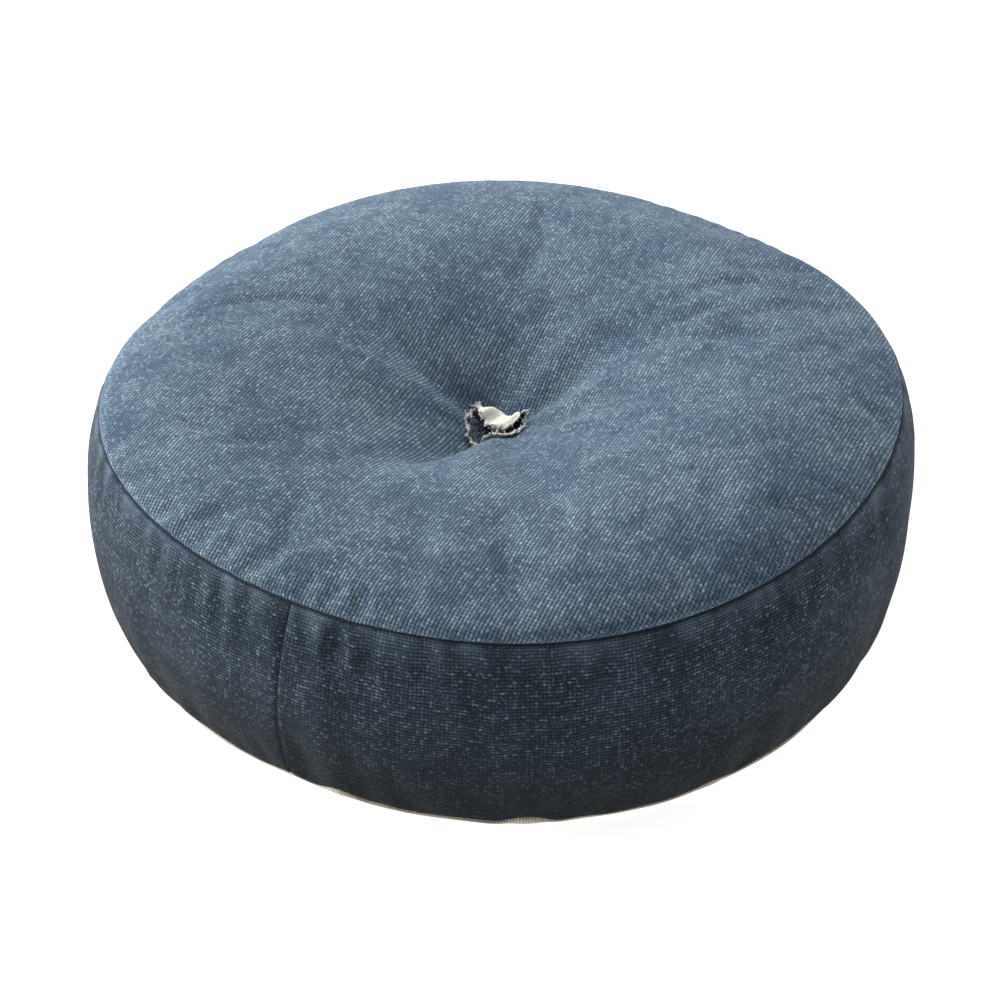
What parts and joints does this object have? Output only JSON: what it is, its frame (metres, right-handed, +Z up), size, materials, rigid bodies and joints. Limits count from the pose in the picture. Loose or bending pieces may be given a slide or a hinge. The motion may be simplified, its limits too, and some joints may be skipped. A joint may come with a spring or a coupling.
{
  "type": "seat cushion",
  "caption": "Round boxed seat cushion in washed indigo canvas, with a soft crowned top drawn down to one frayed tuft in its middle.",
  "frame": {"origin": "centre of the underside, on the surface that the cushion rests on", "axes": "+Z up through the tuft; -Y towards the viewer of the front, where the visible join of the side band is left of the middle"},
  "size_m": [0.419, 0.419, 0.1347],
  "materials": {
    "canvas": "matte",
    "band_canvas": "matte",
    "natural_canvas": "matte",
    "indigo_thread": "matte",
    "natural_thread": "matte",
    "lining": "matte",
    "wadding": "matte",
    "foam": "matte",
    "denim": "matte",
    "twine": "matte",
    "felt": "matte"
  },
  "bodies": {
    "base": {"side_band_right": "band_canvas", "side_band_left": "band_canvas", "bottom_panel": "natural_canvas", "top_seam_thread": "indigo_thread", "bottom_seam_thread": "natural_thread", "closing_thread": "natural_thread", "front_join_thread": "indigo_thread", "rear_join_thread": "indigo_thread", "case_side": "lining", "case_bottom": "lining", "case_bottom_thread": "natural_thread", "wadding_side": "wadding", "wadding_bottom": "wadding", "foam_core": "foam", "tuft_cord": "twine", "under_patch": "felt", "under_knot": "twine"},
    "seat_top": {"top_panel": "canvas", "case_top": "lining", "case_top_thread": "natural_thread", "wadding_top": "wadding", "tuft_patch": "denim", "tuft_knot": "twine"}
  },
  "joints": [
    {"name": "seat_press", "type": "slide", "parent": "base", "child": "seat_top", "axis": [0, 0, 1], "range_m": [-0.035, 0], "stiffness_N_per_m": 12000, "deforming": ["foam_core", "wadding_side", "case_side", "tuft_cord"]}
  ]
}
